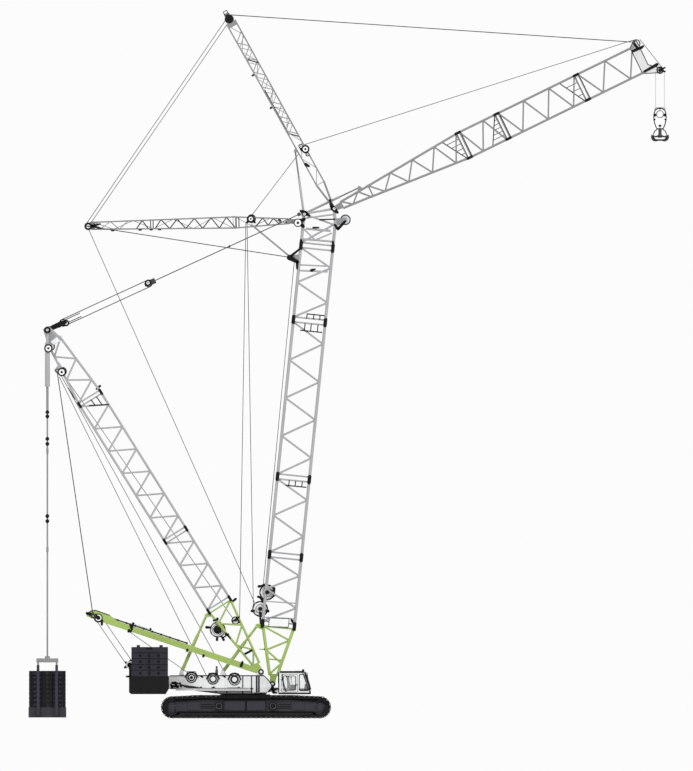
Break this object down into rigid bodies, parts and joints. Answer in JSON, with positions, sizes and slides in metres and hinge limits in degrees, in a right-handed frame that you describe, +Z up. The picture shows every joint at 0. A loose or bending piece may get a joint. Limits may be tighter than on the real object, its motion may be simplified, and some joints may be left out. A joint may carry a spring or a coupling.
{
  "type": "crawler crane, 1:2 scale model",
  "caption": "Crawler crane with lattice boom, luffing jib, two jib struts, derrick mast, live mast and hanging ballast; slews, luffs and hangs a swivelling hook.",
  "frame": {"origin": "point on the ground under the slew axis", "axes": "+X the way the tracks and boom face in the drawing, +Y to the crane's left, +Z up"},
  "size_m": [23.0624, 4.52, 25.4011],
  "materials": {
    "lime_paint": "satin",
    "pale_paint": "satin",
    "dark_paint": "satin",
    "weights": "matte",
    "track_steel": "worn",
    "bare_steel": "satin",
    "seat_fabric": "matte"
  },
  "bodies": {
    "undercarriage": {"carbody": "dark_paint", "track_frame_left": "dark_paint", "track_frame_right": "dark_paint", "track_left": "track_steel", "track_right": "track_steel"},
    "upperworks": {"deck": "pale_paint", "engine": "bare_steel", "engine_cover": "pale_paint", "counterweight_base": "weights", "counterweight_left": "weights", "counterweight_right": "weights", "winch_rear": "bare_steel", "winch_middle": "bare_steel", "winch_front": "bare_steel", "cab_body": "pale_paint", "cab_side_left": "pale_paint", "cab_side_right": "pale_paint", "cab_roof": "pale_paint", "cab_seat": "seat_fabric"},
    "door": {"cab_door": "pale_paint"},
    "derrick": {"derrick_base": "lime_paint", "derrick_insert_1": "pale_paint", "derrick_insert_2": "pale_paint", "derrick_head": "pale_paint", "derrick_pendants": "bare_steel"},
    "mast": {"live_mast": "lime_paint"},
    "derrick_stop_outer": {"derrick_stop_tubes": "lime_paint"},
    "derrick_stop_inner": {"derrick_stop_rods": "lime_paint"},
    "boom": {"boom_base": "lime_paint", "boom_insert_1": "pale_paint", "boom_insert_2": "pale_paint", "boom_insert_3": "pale_paint", "boom_insert_4": "pale_paint", "boom_head": "pale_paint", "boom_winch_low": "bare_steel", "boom_winch_high": "bare_steel", "boom_rope": "bare_steel", "rear_strut": "pale_paint", "rear_pendants": "bare_steel"},
    "boom_stop_outer": {"boom_stop_tubes": "lime_paint"},
    "boom_stop_inner": {"boom_stop_rods": "lime_paint"},
    "tackle_upper": {"boom_tackle": "bare_steel"},
    "tackle_lower": {"boom_pendants": "bare_steel"},
    "jib": {"jib_base": "pale_paint", "jib_insert_1": "pale_paint", "jib_insert_2": "pale_paint", "jib_head": "pale_paint", "front_strut": "pale_paint", "jib_pendants": "bare_steel"},
    "strut_stop_outer": {"strut_stop_tube": "pale_paint"},
    "strut_stop_inner": {"strut_stop_rod": "bare_steel"},
    "jib_stop_outer": {"jib_stop_tube": "pale_paint"},
    "jib_stop_inner": {"jib_stop_rod": "bare_steel"},
    "ballast_upper": {"ballast_cylinders": "pale_paint"},
    "ballast_lower": {"ballast_rods": "pale_paint", "ballast_tray": "weights", "ballast_blocks": "weights"},
    "tip": {"tip_sheaves": "bare_steel"},
    "block": {"hook_block": "dark_paint"},
    "hook_swivel": {"hook": "dark_paint"}
  },
  "joints": [
    {"name": "slew", "type": "hinge", "parent": "undercarriage", "child": "upperworks", "pos_m": [0, 0, 0.846], "axis": [0, 0, 1], "continuous": true},
    {"name": "cab_door_swing", "type": "hinge", "parent": "upperworks", "child": "door", "pos_m": [1.309, -1.598, 1.24], "axis": [0, 0, -1], "range_deg": [0, 90]},
    {"name": "derrick_luff", "type": "hinge", "parent": "upperworks", "child": "derrick", "pos_m": [0.576, 0, 1.642], "axis": [0, 1, 0], "range_deg": [-5.3, 4.1]},
    {"name": "mast_swing", "type": "hinge", "parent": "upperworks", "child": "mast", "pos_m": [0.576, 0, 1.642], "axis": [0, 1, 0], "range_deg": [-5.17, 4]},
    {"name": "derrick_stop_swing", "type": "hinge", "parent": "upperworks", "child": "derrick_stop_outer", "pos_m": [-2.286, 0, 1.638], "axis": [0, 1, 0], "range_deg": [-2.54, 1.96]},
    {"name": "derrick_stop_slide", "type": "slide", "parent": "derrick_stop_outer", "child": "derrick_stop_inner", "axis": [0.4017, 0, 0.9158], "range_m": [-0.2434, 0.1883]},
    {"name": "boom_luff", "type": "hinge", "parent": "upperworks", "child": "boom", "pos_m": [0.99, 0, 1.206], "axis": [0, -1, 0], "range_deg": [-20, 2.5]},
    {"name": "boom_stop_swing", "type": "hinge", "parent": "upperworks", "child": "boom_stop_outer", "pos_m": [-0.803, 0, 1.638], "axis": [0, -1, 0], "range_deg": [-12.53, 1.57]},
    {"name": "boom_stop_slide", "type": "slide", "parent": "boom_stop_outer", "child": "boom_stop_inner", "axis": [0.597, 0, 0.8022], "range_m": [-0.0712, 0.5688]},
    {"name": "tackle_swing", "type": "hinge", "parent": "derrick", "child": "tackle_upper", "pos_m": [-7.11472, 0, 13.94972], "axis": [0, -1, 0], "range_deg": [-14.28, 1.79]},
    {"name": "tackle_slide", "type": "slide", "parent": "tackle_upper", "child": "tackle_lower", "axis": [0.9086, 0, 0.4177], "range_m": [-0.6408, 5.1258]},
    {"name": "jib_luff", "type": "hinge", "parent": "boom", "child": "jib", "pos_m": [3.21454, 0, 18.31679], "axis": [0, -1, 0], "range_deg": [-10, 48]},
    {"name": "strut_stop_swing", "type": "hinge", "parent": "boom", "child": "strut_stop_outer", "pos_m": [2.11623, 0, 18.13184], "axis": [0, -1, 0], "range_deg": [-11.93, 57.28]},
    {"name": "strut_stop_slide", "type": "slide", "parent": "strut_stop_outer", "child": "strut_stop_inner", "axis": [-0.1352, 0, 0.9908], "range_m": [-0.8578, 0.1788]},
    {"name": "jib_stop_swing", "type": "hinge", "parent": "boom", "child": "jib_stop_outer", "pos_m": [2.11623, 0, 18.13184], "axis": [0, -1, 0], "range_deg": [-5.18, 24.87]},
    {"name": "jib_stop_slide", "type": "slide", "parent": "jib_stop_outer", "child": "jib_stop_inner", "axis": [0.9034, 0, 0.4289], "range_m": [-0.3948, 0.0823]},
    {"name": "ballast_swing", "type": "hinge", "parent": "derrick", "child": "ballast_upper", "pos_m": [-7.11472, 0, 13.94972], "axis": [0, 1, 0], "range_deg": [-4.1, 5.31]},
    {"name": "ballast_slide", "type": "slide", "parent": "ballast_upper", "child": "ballast_lower", "axis": [0, 0, -1], "range_m": [-0.7131, 0.5517]},
    {"name": "tip_swing", "type": "hinge", "parent": "jib", "child": "tip", "pos_m": [14.93974, 0, 23.30258], "axis": [0, -1, 0], "range_deg": [-48.05, 10.01]},
    {"name": "block_swing", "type": "hinge", "parent": "tip", "child": "block", "pos_m": [14.93974, 0, 23.30258], "axis": [0, -1, 0], "range_deg": [-2.5, 20.02]},
    {"name": "hook_turn", "type": "hinge", "parent": "block", "child": "hook_swivel", "pos_m": [14.93974, 0, 21.09258], "axis": [0, 0, 1], "continuous": true}
  ],
  "couplings": [
    {"joint": "mast_swing", "follows": "derrick_luff", "ratio": 0.975},
    {"joint": "derrick_stop_swing", "follows": "derrick_luff", "ratio": 0.47826},
    {"joint": "derrick_stop_slide", "follows": "derrick_luff", "m_per_rad": 2.6272},
    {"joint": "boom_stop_swing", "follows": "boom_luff", "ratio": 0.62606},
    {"joint": "boom_stop_slide", "follows": "boom_luff", "m_per_rad": -1.6275},
    {"joint": "tackle_swing", "follows": "boom_luff", "ratio": 0.71336},
    {"joint": "tackle_slide", "follows": "boom_luff", "m_per_rad": -14.669},
    {"joint": "strut_stop_swing", "follows": "jib_luff", "ratio": 1.1921},
    {"joint": "strut_stop_slide", "follows": "jib_luff", "m_per_rad": -1.0228},
    {"joint": "jib_stop_swing", "follows": "jib_luff", "ratio": 0.51753},
    {"joint": "jib_stop_slide", "follows": "jib_luff", "m_per_rad": -0.47062},
    {"joint": "ballast_swing", "follows": "derrick_luff", "ratio": -1},
    {"joint": "ballast_slide", "follows": "derrick_luff", "m_per_rad": 7.7},
    {"joint": "tip_swing", "follows": "jib_luff", "ratio": -1},
    {"joint": "block_swing", "follows": "boom_luff", "ratio": -1}
  ]
}
